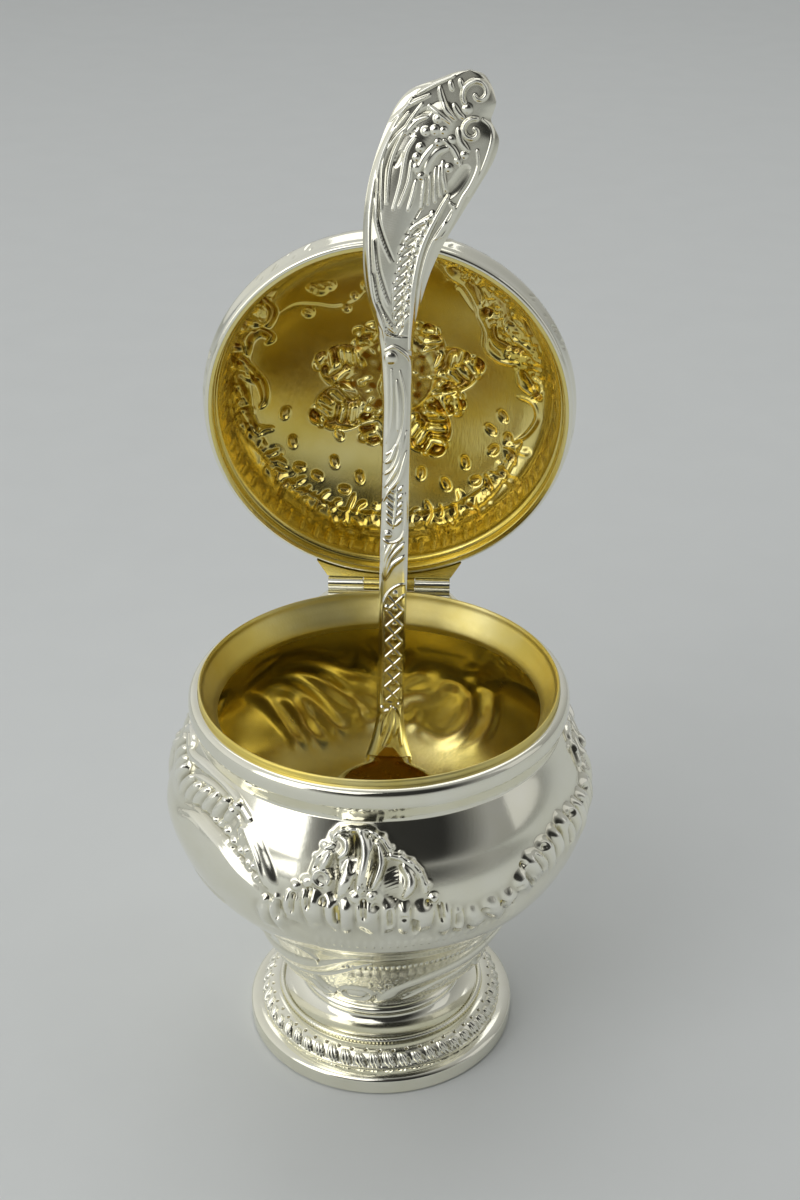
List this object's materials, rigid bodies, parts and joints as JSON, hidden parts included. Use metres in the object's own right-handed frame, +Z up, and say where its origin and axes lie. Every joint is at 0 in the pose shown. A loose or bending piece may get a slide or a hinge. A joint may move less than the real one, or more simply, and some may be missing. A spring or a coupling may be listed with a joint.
{
  "type": "mustard pot",
  "caption": "Footed mustard pot of chased silver, gilt inside, with a domed lid on a knuckle hinge at the back and a loose spoon standing in it.",
  "frame": {"origin": "centre of the foot's underside, on the pot's axis at table level", "axes": "+Z up along the pot's axis, hinge at the back on +Y, front of the pot on -Y"},
  "size_m": [0.0624, 0.0847, 0.1408],
  "materials": {
    "silver": "polished and chased silver",
    "gilt": "satin gilding",
    "spoon_silver": "polished silver with die-struck relief"
  },
  "bodies": {
    "pot": {"bowl": "silver", "mouth_rim": "silver", "mouth_collar": "gilt", "stem_collar": "silver", "foot_dome": "silver", "foot_wire": "silver", "foot_ring": "silver", "hinge_leaf_body": "silver", "hinge_knuckle_left": "silver", "hinge_knuckle_right": "silver", "hinge_pin": "silver"},
    "lid": {"lid_bezel": "gilt", "lid_border": "silver", "lid_dome": "silver", "hinge_leaf_lid": "gilt", "hinge_knuckle_centre": "gilt", "finial_leaves": "silver", "finial_bud": "silver", "finial_stud": "silver", "finial_nut": "gilt"},
    "spoon": {"spoon": "spoon_silver"}
  },
  "joints": [
    {"name": "lid_hinge", "type": "hinge", "parent": "pot", "child": "lid", "pos_m": [0, 0.02936, 0.0602], "axis": [1, 0, 0], "range_deg": [0, 86.5]},
    {"name": "spoon_tilt", "type": "hinge", "parent": "pot", "child": "spoon", "pos_m": [0, -0.009, 0.03], "axis": [1, 0, 0], "range_deg": [0, 70]}
  ],
  "couplings": [
    {"joint": "spoon_tilt", "follows": "lid_hinge", "ratio": 0.8092}
  ]
}
